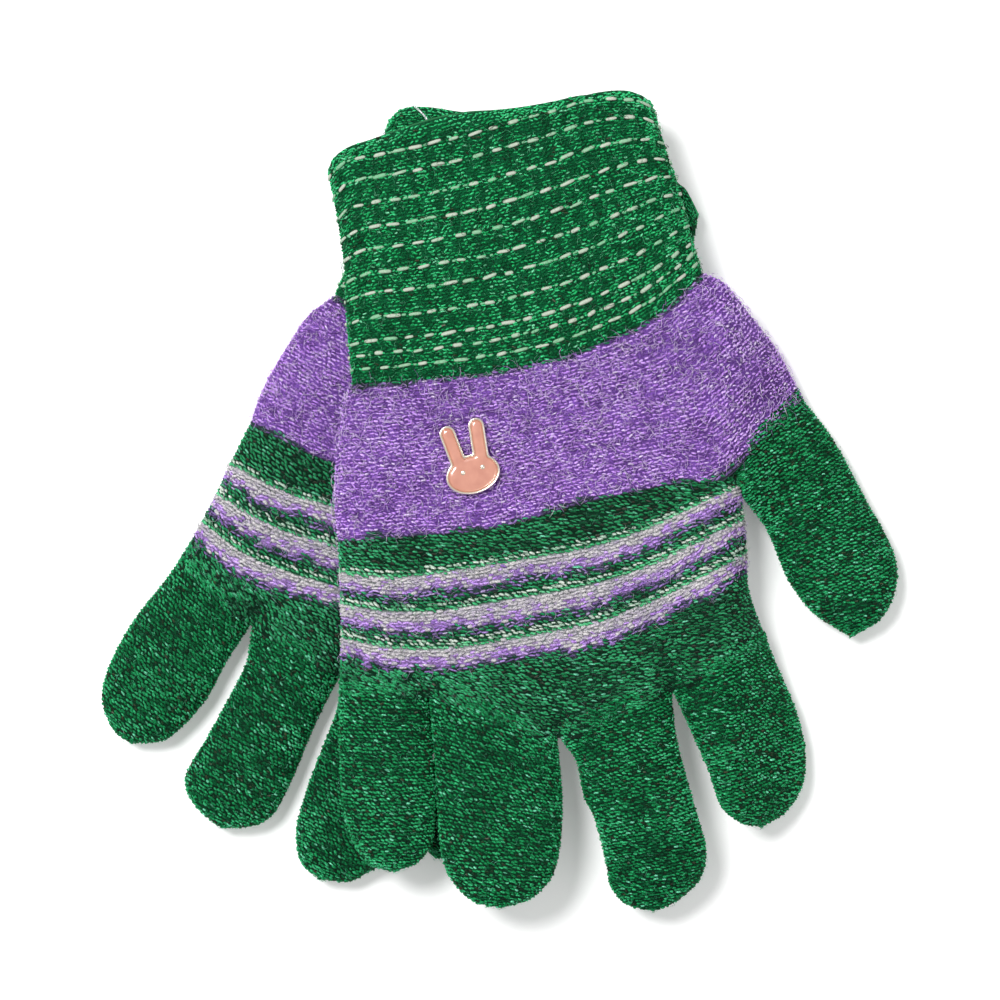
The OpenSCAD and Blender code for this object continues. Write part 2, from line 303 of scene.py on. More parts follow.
def flat_grid(lines, left, right):
    """Rows of points a course apart through some lines, between a left edge and a right one.

    It also gives each line's own place among the rows, as a share of them.
    """
    left = [lines[0][0], *left, lines[-1][0]]
    right = [lines[0][-1], *right, lines[-1][-1]]
    lines = [curve(line, HAND_COLS) for line in lines]
    gaps = [np.linalg.norm(b - a, axis=1).mean() for a, b in zip(lines[:-1], lines[1:])]
    at = np.concatenate([[0], np.cumsum(gaps)])
    rows = int(round(at[-1] / COURSE)) + 1
    steps = np.linspace(0, at[-1], rows)
    grid = np.empty((rows, HAND_COLS, 2))
    for r, step in enumerate(steps):
        k = min(np.searchsorted(at, step, side="right") - 1, len(gaps) - 1)
        f = (step - at[k]) / gaps[k]
        grid[r] = lines[k] * (1 - f) + lines[k + 1] * f
    u = np.linspace(0, 1, HAND_COLS)[None, :, None]
    to_left = (beside(left, [line[0] for line in lines], at, steps) - grid[:, 0])[:, None]
    to_right = (beside(right, [line[-1] for line in lines], at, steps) - grid[:, -1])[:, None]
    return grid + to_left * (1 - u) + to_right * u, at / at[-1]


def beside(edge, ends, at, steps):
    """Points of an edge at each step, where the lines that end on it stand at the steps in at."""
    count = 401
    dense = curve(edge, count)
    marks = [np.argmin(np.linalg.norm(dense - end, axis=1)) for end in ends]
    place = np.interp(steps, at, marks)
    return np.column_stack([np.interp(place, np.arange(count), dense[:, k]) for k in range(2)])


def digit_grid(lines, digit):
    """Rows of points across a digit, from a little inside the hand to its tip.

    It also gives how thick the digit is at each row, as a share of its full thickness.
    """
    left, right, tip = lines[digit]
    if digit in FINGERS:
        k = FINGERS.index(digit)
        left = [lines["crotches"][k], *left]
        right = [lines["crotches"][k + 1], *right]
    tip = np.array(tip, float)
    root = (np.array(left[0]) + np.array(right[0])) / 2
    axis = (tip - root) / np.linalg.norm(tip - root)
    back = -ROOT_L * axis
    sides = []
    for rail in (left, right):
        dense = smooth_line([tuple(np.array(rail[0]) + back)] + list(rail) + [tuple(tip)])
        far = (dense - root) @ axis
        sides.append((dense, np.maximum.accumulate(far + np.linspace(0, 1e-6, len(far)))))
    reach = (tip - root) @ axis
    whole = reach + ROOT_L
    plain = int((whole - TIP_R) / COURSE)
    arc = np.radians(np.linspace(0, 86, 11)[1:])
    stations = np.concatenate([
        np.linspace(0, 1 - TIP_R / whole, plain),
        1 - TIP_R * (1 - np.sin(arc)) / whole,
    ])
    grid = np.empty((len(stations), DIGIT_COLS, 2))
    for r, f in enumerate(stations):
        ends = []
        for dense, far in sides:
            here = far[0] + (reach - far[0]) * f
            ends.append([np.interp(here, far, dense[:, k]) for k in range(2)])
        grid[r] = np.linspace(ends[0], ends[1], DIGIT_COLS)
    from_tip = (1 - stations) * whole
    cap = np.sqrt(np.clip(1 - (1 - np.clip(from_tip / TIP_R, 0, 1)) ** 2, 0, 1))
    return grid, cap


def closed_section(line, half, cols):
    """Points round a flat sleeve's section: over its upper face and back under its lower one."""
    steps = np.linalg.norm(np.diff(line, axis=0), axis=1)
    at = np.concatenate([[0], np.cumsum(steps)])
    width = at[-1]
    r = min(EDGE_R, width / 2)
    a = np.linspace(0, math.pi / 2, 9)
    flat = np.linspace(r, width - r, 24)[1:-1] if width - 2 * r > 0.5 else np.empty(0)
    d = np.concatenate([r * (1 - np.cos(a)), flat, (width - r * (1 - np.cos(a)))[::-1]])
    h = np.concatenate([np.sin(a), np.ones(len(flat)), np.sin(a)[::-1]]) * half
    x, y = (np.interp(d, at, line[:, k]) for k in range(2))
    upper = np.column_stack([x, y, h])
    lower = np.column_stack([x, y, -h])[::-1]
    return even(np.vstack([upper, lower[1:]]), cols + 1)[:-1]


class Skin:
    """The outside of a knitted sleeve: rows of points round it, from its near end to its far one.

    shape scales how high each place stands, cap is each row's share of the full thickness, and dent
    is how far the lower face is pushed up.
    """

    def __init__(self, grid, half, shape, drapes, cap=None, dent=None):
        rows = len(grid)
        widths = np.linalg.norm(np.diff(grid, axis=1), axis=2).sum(1)
        cols = int(round((2 * widths.max() + 4) / SKIN_STEP))
        cols += cols % 2
        cap = np.ones(rows) if cap is None else cap
        p = np.array([closed_section(grid[r], half * cap[r], cols) for r in range(rows)])
        p[:, :, 2] *= shape(p[:, :, 0], p[:, :, 1])
        p[:, :, 2] += np.sign(p[:, :, 2]) * LUMP * LUMPS(p[:, :, 0], p[:, :, 1]) * cap[:, None]
        lower = p[:, :, 2] < 0
        p[:, :, 2] *= np.where(lower, UNDERSIDE, 1)
        if dent is not None:
            p[:, :, 2] += lower * dent(p[:, :, 0], p[:, :, 1])
        p[:, :, 2] += CAD_T / 2
        if drapes:
            p[:, :, 2] -= drop(p[:, :, 0], p[:, :, 1])
        self.points = p
        self.normals = self._normals(p)

    @staticmethod
    def _normals(p):
        across = np.roll(p, -1, 1) - np.roll(p, 1, 1)
        along = np.gradient(p, axis=0)
        n = np.cross(along, across)
        return n / np.maximum(np.linalg.norm(n, axis=2, keepdims=True), 1e-9)

    def at(self, row, col):
        """Points and normals at fractional rows and columns, with the way across and the way along."""
        rows, cols = self.points.shape[:2]
        row = np.clip(row, 0, rows - 1.001)
        col = np.mod(col, cols)
        i = row.astype(int)
        j = np.minimum(col.astype(int), cols - 1)
        fi = (row - i)[:, None]
        fj = (col - j)[:, None]
        k = (j + 1) % cols

        def mix(a):
            return (a[i, j] * (1 - fi) * (1 - fj) + a[i, k] * (1 - fi) * fj
                    + a[i + 1, j] * fi * (1 - fj) + a[i + 1, k] * fi * fj)

        p = mix(self.points)
        n = mix(self.normals)
        n /= np.linalg.norm(n, axis=1, keepdims=True)
        t = (self.points[i, k] - self.points[i, j]) * (1 - fi)
        t = t + (self.points[i + 1, k] - self.points[i + 1, j]) * fi
        t -= n * (t * n).sum(1, keepdims=True)
        t /= np.maximum(np.linalg.norm(t, axis=1, keepdims=True), 1e-9)
        return p, n, t, np.cross(n, t)

    def row_length(self, row):
        """How far it is round the skin at a row."""
        return np.linalg.norm(np.roll(self.points[row], -1, 0) - self.points[row], axis=1).sum()

    def course_rows(self):
        """Fractional rows a course apart along the middle of the skin's upper face."""
        middle = self.points[:, self.points.shape[1] // 4]
        steps = np.linalg.norm(np.diff(middle, axis=0), axis=1)
        at = np.concatenate([[0], np.cumsum(steps)])
        count = int(at[-1] / COURSE)
        return np.interp((np.arange(count) + 0.5) * at[-1] / count, at, np.arange(len(at)))


def plain_shape(x, y):
    """The full thickness everywhere."""
    return np.ones(np.shape(x))


def valleys(crotches):
    """How deep the hand's valleys are at each place: each runs from a crotch a little way up."""
    def depth(x, y):
        deepest = np.zeros(np.shape(x))
        for cx, cy in crotches[1:-1]:
            up = 1 - ease((y - cy + 2) / 13)
            deepest += up * np.exp(-((x - cx) / (2.0 + 0.12 * np.maximum(y - cy, 0))) ** 2)
        return deepest
    return depth


def palm_shape(depth):
    """The palm's face sinks into the valleys between the fingers."""
    def shape(x, y):
        return 1 - 0.72 * depth(x, y)
    return shape


def palm_valley_shade(depth):
    """The valleys are painted darker too: painted shade between the fingers' roots."""
    def pits(x, y):
        return 0.55 * depth(x, y)
    return pits


def cuff_shares(lines):
    """Shares of the way down a cuff: from its hem to its wrist, and from its first thread to there."""
    def shares(x, y):
        hem_y, first_y, wrist_y = (np.interp(x, *np.array(lines[k]).T)
                                   for k in ("hem", "first_dashes", "wrist"))
        return (hem_y - y) / (hem_y - wrist_y), (first_y - y) / (first_y - wrist_y)
    return shares


def cuff_pits(lines):
    """How deep the knit pits at each place of a cuff: between its ribs, away from its elastic.

    In the stitches' colour it is painted shade: they are painted darker where it is deep. It is below 0
    at the hem, where the knit rolls outwards, and there it makes the colour paler.
    """
    shares = cuff_shares(lines)

    def pits(x, y):
        from_hem, at = shares(x, y)
        gaps = np.min([np.abs(at - e) for e in ELASTIC_AT], axis=0)
        between = 0.5 + 0.5 * np.cos(2 * math.pi * (x + 0.1 * y + 1.2 * WAVES(x * 0.4, y)) / RIB)
        hem_light = 0.45 * (1 - ease(from_hem / 0.08))
        return between ** 2 * ease(gaps / 0.035) * ease((from_hem - 0.02) / 0.05) - hem_light
    return pits


def cuff_shape(lines):
    """Soft puffs between the elastic threads, pits between the ribs, and a round lip at the hem."""
    shares = cuff_shares(lines)
    pits = cuff_pits(lines)

    def shape(x, y):
        from_hem, at = shares(x, y)
        gaps = np.min([np.abs(at - e) for e in ELASTIC_AT], axis=0)
        lip = 0.16 * ease(1 - from_hem / 0.03)
        return 0.985 + 0.05 * ease(gaps / 0.05) - lip - 0.07 * np.maximum(pits(x, y), 0)
    return shape


def badge_dent(x, y):
    """How far the lower face of a glove is pushed up where it lies on its badge."""
    across = x - BADGE_AT[0] + 0.3 * (y - BADGE_AT[1])
    along = y - BADGE_AT[1] - 3.5
    return 1.3 * (1 - ease((np.hypot(across, along * 0.72) - 6.5) / 5))


# Meshes

# The baked texture: the shell's strip at its foot, and the cells of the strands and fibres above
SHELL_STRIP = 0.3
CELLS_FROM = 0.31
CELLS_HIGH = 0.68
CELL_SHAPE = 3.0            # a cell's width over its height, about
CELL_USED = 0.8             # how much of a cell its strand takes, each way


class Mesh:
    """Triangles with a yarn colour for each point and a place in the baked texture for each corner."""

    def __init__(self):
        self.points = []
        self.faces = []
        self.colours = []
        self.uvs = []
        self.count = 0

    def add(self, points, faces, colours, uvs):
        self.points.append(points)
        self.faces.append(faces + self.count)
        self.colours.append(colours)
        self.uvs.append(uvs)
        self.count += len(points)

    def build(self, name, material, place):
        """A Blender object of all the triangles, put in its place and kept off the floor."""
        points = place(np.vstack(self.points))
        points[:, 2] = np.maximum(points[:, 2], FLOOR_GAP)
        points *= MM
        faces = np.vstack(self.faces)
        mesh = bpy.data.meshes.new(name)
        mesh.vertices.add(len(points))
        mesh.vertices.foreach_set("co", points.astype(np.float32).ravel())
        mesh.loops.add(faces.size)
        mesh.loops.foreach_set("vertex_index", faces.astype(np.int32).ravel())
        mesh.polygons.add(len(faces))
        mesh.polygons.foreach_set("loop_start", np.arange(0, faces.size, 3, dtype=np.int32))
        mesh.update(calc_edges=True)
        colour = mesh.attributes.new("yarn", "FLOAT_COLOR", "POINT")
        colours = np.vstack(self.colours)
        colour.data.foreach_set("color", np.hstack(
            [colours, np.ones((len(colours), 1))]).astype(np.float32).ravel())
        layer = mesh.uv_layers.new(name="OFBake")
        layer.data.foreach_set("uv", np.vstack(self.uvs).astype(np.float32).ravel())
        mesh.shade_smooth()
        mesh.materials.append(material)
        piece = bpy.data.objects.new(name, mesh)
        bpy.context.scene.collection.objects.link(piece)
        return piece


def grid_faces(rows, cols):
    """Triangles between rows of points that close on themselves, facing outwards."""
    i, j = np.meshgrid(np.arange(rows - 1), np.arange(cols), indexing="ij")
    a = (i * cols + j).ravel()
    b = (i * cols + (j + 1) % cols).ravel()
    c = ((i + 1) * cols + (j + 1) % cols).ravel()
    d = ((i + 1) * cols + j).ravel()
    return np.vstack([np.column_stack([a, c, b]), np.column_stack([a, d, c])])


def grid_uvs(rows, cols, low, high):
    """A corner's place in the texture's strip from low to high, for each of grid_faces' triangles."""
    i, j = np.meshgrid(np.arange(rows - 1), np.arange(cols), indexing="ij")
    u0 = (j / cols).ravel()
    u1 = ((j + 1) / cols).ravel()
    v0 = (low + (high - low) * i / rows).ravel()
    v1 = (low + (high - low) * (i + 1) / rows).ravel()
    first = np.stack([np.column_stack(p) for p in ((u0, v0), (u1, v1), (u1, v0))], 1)
    second = np.stack([np.column_stack(p) for p in ((u0, v0), (u0, v1), (u1, v1))], 1)
    return np.concatenate([first, second]).reshape(-1, 2)


def add_shell(mesh, skin, yarn_at, tip):
    """The knit itself: the skin, its lining a wall's thickness in, and the lips between them.

    A piece with a tip has a lip at its root only, and its skin and its lining each close at the tip.
    """
    rows, cols = skin.points.shape[:2]
    outside = skin.points - skin.normals * SHELL_SINK
    lining = skin.points - skin.normals * WALL
    lip = (lining[0] + outside[0]) / 2 + (skin.points[0] - skin.points[1]) * 0.8
    if tip:
        parts = [np.array([lining[0], lip, *outside]), lining[:-4]]
        numbers = [np.array([0, 0, *range(rows)]), np.arange(rows - 4)]
    else:
        far_lip = (lining[-1] + outside[-1]) / 2 + (skin.points[-1] - skin.points[-2]) * 0.8
        parts = [np.array([lining[0], lip, *outside, far_lip, *lining[::-1]])]
        numbers = [np.array([0, 0, *range(rows), rows - 1, *reversed(range(rows))])]
    strip = SHELL_STRIP / len(parts)
    for k, (part, number) in enumerate(zip(parts, numbers)):
        faces = grid_faces(len(part), cols)
        uvs = grid_uvs(len(part), cols, strip * k, strip * (k + 1))
        points = part.reshape(-1, 3)
        if tip:
            last = (len(part) - 1) * cols + np.arange(cols)
            pole = np.full(cols, len(points))
            faces = np.vstack([faces, np.column_stack([last, pole, np.roll(last, -1)])])
            uvs = np.vstack([uvs, np.full((3 * cols, 2), strip * (k + 1))])
            points = np.vstack([points, part[-1].mean(0, keepdims=True)])
            number = np.append(number, [number[-1]])
        if k == 1:      # a lining of its own faces inwards
            faces = faces[:, ::-1]
        row = np.repeat(number[:len(part)], cols)
        row = np.append(row, number[len(part):]).astype(float)
        yarn = yarn_at(row, points)
        ground = np.array([YARNS[y]["ground"] for y in yarn])
        tone = 1 + 0.35 * SPECKS(points[:, 0], points[:, 1])[:, None]
        mesh.add(points, faces, np.clip(ground * tone, 0, 1), uvs)


# One strand: two pointed ends that dip into the knit, and two three-sided rings between them.
# Each point is [along, across, up] as shares of half the strand's length, width and height.
RING = ((0, 1), (0.95, -0.5), (-0.95, -0.5))
STRAND = np.array([[-1, 0, -0.7]] + [[-0.45, s, u] for s, u in RING] + [[0.45, s, u] for s, u in RING]
                  + [[1, 0, -0.7]], float)
STRAND_FACES = np.array(
    [[0, 1 + (k + 1) % 3, 1 + k] for k in range(3)]
    + [[1 + k, 1 + (k + 1) % 3, 4 + (k + 1) % 3] for k in range(3)]
    + [[1 + k, 4 + (k + 1) % 3, 4 + k] for k in range(3)]
    + [[7, 4 + k, 4 + (k + 1) % 3] for k in range(3)])
STRAND_UVS = np.array(
    [[[0, (k + 0.5) / 3], [0.3, (k + 1) / 3], [0.3, k / 3]] for k in range(3)]
    + [[[0.3, k / 3], [0.3, (k + 1) / 3], [0.7, (k + 1) / 3]] for k in range(3)]
    + [[[0.3, k / 3], [0.7, (k + 1) / 3], [0.7, k / 3]] for k in range(3)]
    + [[[1, (k + 0.5) / 3], [0.7, k / 3], [0.7, (k + 1) / 3]] for k in range(3)])


class Room:
    """Cells of the baked texture: one for each strand or fibre of a piece."""

    def __init__(self, total):
        self.across = max(1, int(math.sqrt(total / CELL_SHAPE / CELLS_HIGH)))
        self.size = np.array([1 / self.across, CELLS_HIGH / math.ceil(total / self.across)])
        self.done = 0

    def take(self, count, corners):
        """The places of the corners, given as shares of a cell, in the next count cells."""
        k = np.arange(self.done, self.done + count)
        self.done += count
        low = np.column_stack([k % self.across, k // self.across]) * self.size + [0, CELLS_FROM]
        return low[:, None, None] + (corners[None] * CELL_USED + (1 - CELL_USED) / 2) * self.size


def add_strands(mesh, centre, t, b, n, length, width, bow, colours, room):
    """Strands of yarn lying on a skin, curved sideways by bow."""
    half = np.stack([length / 2, width / 2, width * 0.4], 1)[:, None]
    local = STRAND[None] * half
    local[:, :, 1] += bow[:, None] * (0.6 - STRAND[None, :, 0] ** 2)
    points = (centre[:, None] + t[:, None] * local[:, :, :1] + b[:, None] * local[:, :, 1:2]
              + n[:, None] * local[:, :, 2:])
    count = len(centre)
    corners = len(STRAND)
    faces = STRAND_FACES[None] + corners * np.arange(count)[:, None, None]
    mesh.add(points.reshape(-1, 3), faces.reshape(-1, 3), np.repeat(colours, corners, 0),
             room.take(count, STRAND_UVS).reshape(-1, 2))


# Loose fibres: thin three-sided tubes that curl over the knit
FIBRE_RINGS = 4
RING3 = np.radians([90, 210, 330])


def fibre_faces():
    """A fibre's triangles, and each corner's place along and round it."""
    faces, corners = [[0, 2, 1]], [[[0, 0.1], [0, 0.9], [0, 0.5]]]
    for r in range(FIBRE_RINGS - 1):
        low, high = r / (FIBRE_RINGS - 1), (r + 1) / (FIBRE_RINGS - 1)
        for k in range(3):
            a, b = 3 * r + k, 3 * r + (k + 1) % 3
            near, far = k / 3, (k + 1) / 3
            faces += [[a, b, b + 3], [a, b + 3, a + 3]]
            corners += [[[low, near], [low, far], [high, far]],
                        [[low, near], [high, far], [high, near]]]
    last = 3 * (FIBRE_RINGS - 1)
    faces.append([last, last + 1, last + 2])
    corners.append([[1, 0.1], [1, 0.5], [1, 0.9]])
    return np.array(faces), np.array(corners, float)


FIBRE_FACES, FIBRE_UVS = fibre_faces()


def add_fibres(mesh, rng, skin, row, col, sizes, colours, room):
    """Curly fibres that leave the knit and come back to it. sizes are length, rise and radius."""
    count = len(row)
    if not count:
        return
    p, n, t, b = skin.at(row, col)
    turn = rng.uniform(0, 2 * math.pi, count)
    curl = rng.normal(0, 1.1, count)
    reach = sizes[:, 0] * rng.uniform(0.5, 1.4, count) / (FIBRE_RINGS - 1)
    high = sizes[:, 1] * rng.uniform(0.3, 1.5, count)
    rings = []
    spot = p + n * 0.08
    for r in range(FIBRE_RINGS):
        f = r / (FIBRE_RINGS - 1)
        core = spot + n * (high * math.sin(math.pi * f * 0.9))[:, None]
        way = t * np.cos(turn)[:, None] + b * np.sin(turn)[:, None]
        side = t * -np.sin(turn)[:, None] + b * np.cos(turn)[:, None]
        thin = (sizes[:, 2] * (1 - 0.5 * abs(2 * f - 1)))[:, None, None]
        rings.append(core[:, None] + thin * (side[:, None] * np.cos(RING3)[None, :, None]
                                             + n[:, None] * np.sin(RING3)[None, :, None]))
        spot = spot + way * reach[:, None]
        turn = turn + curl * 0.8 + rng.normal(0, 0.5, count)
    points = np.concatenate(rings, 1)
    faces = FIBRE_FACES[None] + 3 * FIBRE_RINGS * np.arange(count)[:, None, None]
    mesh.add(points.reshape(-1, 3), faces.reshape(-1, 3),
             np.repeat(colours, 3 * FIBRE_RINGS, 0), room.take(count, FIBRE_UVS).reshape(-1, 2))


def pick_colours(rng, yarn, shade):
    """A colour for each stitch: shade runs from 0, the darkest, to 1, and a few stitches glint."""
    y = YARNS[yarn]
    f = np.clip(shade + rng.normal(0, 0.26, len(shade)), 0, 1)[:, None]
    low = y["dark"] + (y["mid"] - y["dark"]) * np.clip(f * 2, 0, 1)
    c = low + (y["light"] - y["mid"]) * np.clip(f * 2 - 1, 0, 1)
    glints = (rng.random(len(shade)) < 0.02 + 0.07 * f[:, 0])[:, None]
    share = rng.uniform(0.2, 0.75, (len(shade), 1))
    return np.where(glints, c * (1 - share) + y["glint"] * share, c)


def stitch_places(skin, rng, pitch):
    """Fractional rows and columns of every stitch of a skin, and whether it is an odd one."""
    cols = skin.points.shape[1]
    found = []
    for number, row in enumerate(skin.course_rows()):
        across = skin.row_length(int(round(row)))
        count = max(4, int(round(across / pitch)))
        k = (np.arange(count) + 0.5 * (number % 2) + rng.uniform(-0.2, 0.2, count)) / count
        wave = 0.25 * WAVES(k * across, np.full(count, row * 0.5))
        spread = rng.normal(0, 0.13, count)
        found.append((row + wave + spread, k * cols, np.arange(count) % 2))
    row, col, odd = (np.concatenate(x) for x in zip(*found))
    row = np.clip(row, 0, len(skin.points) - 1.001)
    near, far = (skin.at(np.clip(row + d, 0, len(skin.points) - 1.001), col)[0] for d in (-0.5, 0.5))
    apart = np.linalg.norm(far - near, axis=1)
    keep = rng.random(len(row)) < apart / COURSE * 1.15
    return row[keep], col[keep], odd[keep]


# How the stitches of a yarn lie: length, as a share of the plain one, how much their slant varies
# and the slant that they share
LIE = {"white": (1.25, 1.2, 0), "lavender": (1.15, 1.6, 0), "plum": (1, 2, 0), "cuff": (0.85, 1.8, 0),
       "purple": (0.9, 1.5, -0.1), "brown": (0.8, 2, -0.3)}
PLAIN_LIE = (1, 0.8, -0.35)


def knit(name, skin, material, place, seed, yarn_at, pitch, tip=False, pits=None):
    """A knitted piece: its shell, its stitches and its loose fibres.

    yarn_at gives the yarn at fractional rows and points of the skin, and pits how deep it is there. The
    stitches are painted darker where pits is deep, as painted shade, and lighter where the skin turns to
    the side, as a painted sheen.
    """
    rng = np.random.default_rng(seed)
    mesh = Mesh()
    add_shell(mesh, skin, yarn_at, tip)
    row, col, odd = stitch_places(skin, rng, pitch)
    p, n, t, b = skin.at(row, col)
    yarn = marled(rng, yarn_at(row, p))
    loose = loose_fibres(skin, rng, yarn_at)
    room = Room(len(row) + len(loose[0]))
    # Each stitch's tone: random patches and specks, with a painted sheen and painted shade added below.
    patches_and_painted_light = 0.5 + 0.26 * PATCHES(p[:, 0], p[:, 1]) + 0.30 * SPECKS(p[:, 0] * 0.6, p[:, 1] * 1.6)
    edge = 1 - np.abs(n[:, 2])
    # Stitches where the skin turns to the side are painted lighter: a painted sheen along the gloves'
    # edges.
    patches_and_painted_light += 0.3 * edge
    # Painted shade: stitches are painted darker by the depth of the pits, between the cuff's ribs and in
    # the palm's valleys. Where pits is below 0, at the cuff's hem, they are made paler.
    if pits is not None:
        patches_and_painted_light = patches_and_painted_light + 0.1 - pits(p[:, 0], p[:, 1])
    for kind in sorted(set(yarn)):
        mine = yarn == kind
        count = int(mine.sum())
        longer, varies, leans = LIE.get(kind, PLAIN_LIE)
        length = rng.uniform(0.95, 1.7, count) * longer * pitch / PITCH * 0.88
        width = YARNS[kind]["thick"] * rng.uniform(0.65, 1.25, count)
        slant = leans + rng.normal(0, 0.17, count) * varies
        tt = t[mine] * np.cos(slant)[:, None] + b[mine] * np.sin(slant)[:, None]
        bow = np.where(odd[mine] == 1, 0.12, -0.1) * rng.uniform(0.4, 1.6, count)
        sink = rng.uniform(-0.16, 0.05, count) - 0.1 * edge[mine]
        centre = p[mine] + n[mine] * sink[:, None]
        add_strands(mesh, centre, tt, np.cross(n[mine], tt), n[mine], length, width, bow,
                    pick_colours(rng, kind, patches_and_painted_light[mine]), room)
    add_fibres(mesh, rng, skin, *loose, room)
    return mesh.build(name, material, place)


# Loose fibres of each yarn: length, how high they stand, radius and how many a square centimetre
FUZZ = {
    "green": (1.1, 0.26, 0.032, 28),
    "cuff": (1.3, 0.34, 0.034, 34),
    "purple": (2.4, 0.34, 0.056, 80),
    "lavender": (1.8, 0.4, 0.05, 60),
    "plum": (2.2, 0.4, 0.036, 60),
    "white": (1.3, 0.34, 0.065, 60),
    "dash": (1.5, 0.35, 0.04, 40),
    "spring": (1.5, 0.35, 0.04, 40),
}


def loose_fibres(skin, rng, yarn_at):
    """Rows, columns, sizes and colours of a skin's loose fibres: few below, and fewer at its sides."""
    rows, cols = skin.points.shape[:2]
    area = sum(skin.row_length(r) for r in range(0, rows, 4)) * 4 * COURSE / 100
    densest = max(f[3] for f in FUZZ.values())
    tries = int(area * densest * 1.4)
    row = rng.uniform(0, rows - 1.001, tries)
    col = rng.uniform(0, cols, tries)
    p, n, _, _ = skin.at(row, col)
    yarn = yarn_at(row, p)
    sizes = np.array([FUZZ[y] for y in yarn])
    tone = rng.uniform(0, 1, (tries, 1))
    mid = np.array([YARNS[y]["mid"] for y in yarn])
    glint = np.array([YARNS[y]["glint"] for y in yarn])
    share = np.where(n[:, 2] > 0, 1.0, 0.15) * (1 - 0.45 * (1 - np.abs(n[:, 2])))
    keep = rng.random(tries) < sizes[:, 3] / densest * share
    colours = mid * (1 - tone) + glint * tone
    return row[keep], col[keep], sizes[keep, :3], colours[keep]


# Materials


def new_material(name):
    """A material with its nodes, its links and its shader."""
    material = bpy.data.materials.new(name)
    material.use_nodes = True
    nodes, links = material.node_tree.nodes, material.node_tree.links
    return material, nodes, links, nodes["Principled BSDF"]


def noise(nodes, links, scale, detail):
    """Noise in the object's own space, whose lumps are about 1 / scale metres."""
    where = nodes.new("ShaderNodeTexCoord")
    texture = nodes.new("ShaderNodeTexNoise")
    texture.inputs["Scale"].default_value = scale
    texture.inputs["Detail"].default_value = detail
    links.new(where.outputs["Object"], texture.inputs["Vector"])
    return texture


def ramp(nodes, links, texture, low, high):
    """A texture's value as a colour between low and high, each a value and its colour."""
    made = nodes.new("ShaderNodeValToRGB")
    for element, (position, colour) in zip(made.color_ramp.elements, (low, high)):
        element.position = position
        element.color = (*colour, 1)
    links.new(texture.outputs["Fac"], made.inputs["Fac"])
    return made


def bump(nodes, links, shader, texture, strength, distance):
    """Relief from a texture, as deep as the distance in metres."""
    made = nodes.new("ShaderNodeBump")
    made.inputs["Strength"].default_value = strength
    made.inputs["Distance"].default_value = distance
    links.new(texture.outputs["Fac"], made.inputs["Height"])
    links.new(made.outputs["Normal"], shader.inputs["Normal"])


def yarn_material(name, roughness, sheen, tint, darkest, lightest):
    """Brushed yarn: its colour is the stitch's own, with the fineness of its fibres over it.

    darkest and lightest are how much the fibres change it by.
    """
    material, nodes, links, shader = new_material(name)
    shader.inputs["Roughness"].default_value = roughness
    shader.inputs["Specular IOR Level"].default_value = 0.08
    shader.inputs["Sheen Weight"].default_value = sheen
    shader.inputs["Sheen Roughness"].default_value = 0.4
    shader.inputs["Sheen Tint"].default_value = (*tint, 1)
    yarn = nodes.new("ShaderNodeAttribute")
    yarn.attribute_name = "yarn"
    fine = noise(nodes, links, 4200, 5)
    tone = ramp(nodes, links, fine, (0.36, [darkest] * 3), (0.64, [lightest] * 3))
    mix = nodes.new("ShaderNodeMix")
    mix.data_type = "RGBA"
    mix.blend_type = "MULTIPLY"
    mix.inputs["Factor"].default_value = 1
    links.new(yarn.outputs["Color"], mix.inputs[6])
    links.new(tone.outputs["Color"], mix.inputs[7])
    links.new(mix.outputs[2], shader.inputs["Base Color"])
    bump(nodes, links, shader, fine, 0.7, 0.00012)
    return material


def one_yarn(yarn):
    """The same yarn everywhere."""
    def at(row, p):
        return np.full(len(row), yarn, dtype=object)
    return at


def purple_band(rows):
    """Purple yarn, with a few darker stitches where it meets the green at both ends."""
    def at(row, p):
        end = np.minimum(row, rows - 1 - row) + 1.1 * SPECKS(p[:, 0] * 0.5, p[:, 1])
        return np.where(end < 1.3, "plum", "purple").astype(object)
    return at


def striped(rows, first, last):
    """The yarn at each place of the striped band, with ragged edges below its white stripes."""
    def at(row, p):
        f = (row / (rows - 1) - first) / (last - first)
        ragged = 0.03 * WAVES(p[:, 0], p[:, 1] * 0.3) + 0.034 * SPECKS(p[:, 0] * 0.9, p[:, 1] * 0.3)
        exact = STRIPE_YARNS[np.searchsorted(STRIPE_ENDS, f)]
        loose = STRIPE_YARNS[np.searchsorted(STRIPE_ENDS, f + ragged)]
        crisp = np.isin(exact, ("dash", "spring")) | np.isin(loose, ("dash", "spring"))
        return np.where(crisp, exact, loose)
    return at


def marled(rng, yarn):
    """The yarns with some of their stitches changed, as where a plied yarn shows its other strand."""
    mixed = yarn.copy()
    for kind, (other, often) in MARL.items():
        mixed[(yarn == kind) & (rng.random(len(yarn)) < often)] = other
    return mixed


def top_place(p):
    """Points of the upper glove's own frame in the shared one."""
    return p + np.array([*TOP_WRIST, TOP_LIFT])


def under_place(p):
    """Points of the lower glove's own frame in the shared one."""
    c, s = math.cos(UNDER_TURN), math.sin(UNDER_TURN)
    x = c * p[:, 0] - s * p[:, 1] + UNDER_WRIST[0]
    y = s * p[:, 0] + c * p[:, 1] + UNDER_WRIST[1]
    return np.column_stack([x, y, p[:, 2]])


GREEN = yarn_material("green_knit", 0.85, 0.35, rgb(50, 185, 105), 0.25, 2.1)
PURPLE = yarn_material("purple_knit", 0.9, 0.25, rgb(205, 175, 245), 0.45, 1.65)
STRIPED = yarn_material("striped_knit", 0.9, 0.2, rgb(150, 205, 180), 0.5, 1.55)


